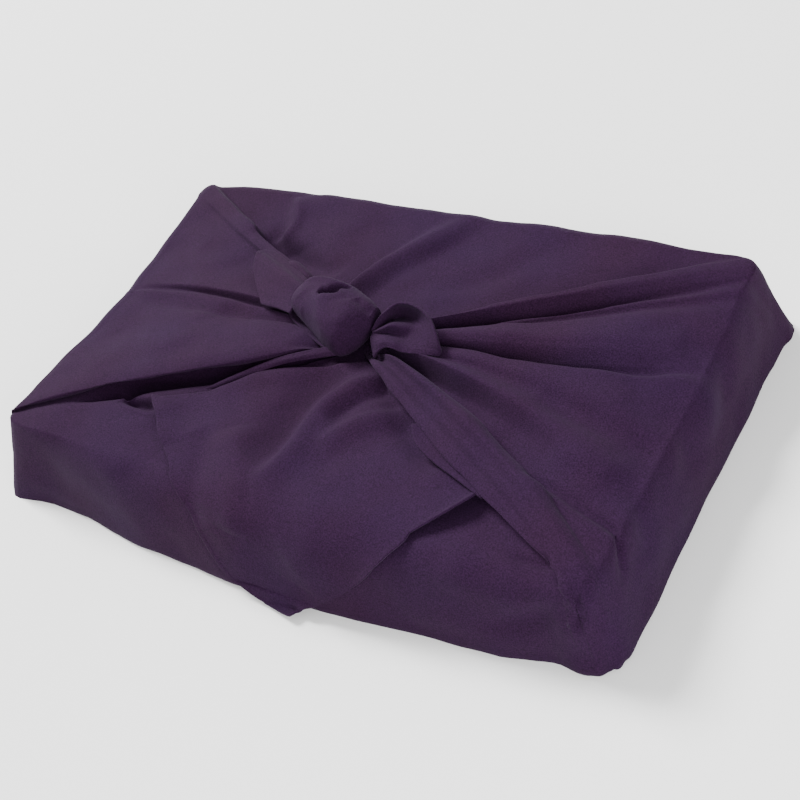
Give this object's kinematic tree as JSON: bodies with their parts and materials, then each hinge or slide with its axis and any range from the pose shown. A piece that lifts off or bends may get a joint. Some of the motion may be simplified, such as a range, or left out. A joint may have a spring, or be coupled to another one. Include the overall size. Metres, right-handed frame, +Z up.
{
  "type": "furoshiki wrap",
  "caption": "Square wrapping cloth folded corner over corner round a flat box and tied on top in a flat knot with two short ends.",
  "frame": {"origin": "on the surface it rests on, under the middle of the wrapped box", "axes": "+Z up, X along the long side, -Y is the front, where the point of the flap hangs"},
  "size_m": [0.3791, 0.2509, 0.0775],
  "materials": {
    "cloth": "matt fine crepe weave, dark purple"
  },
  "bodies": {
    "root": {"furoshiki_wrap": "cloth"}
  },
  "joints": []
}
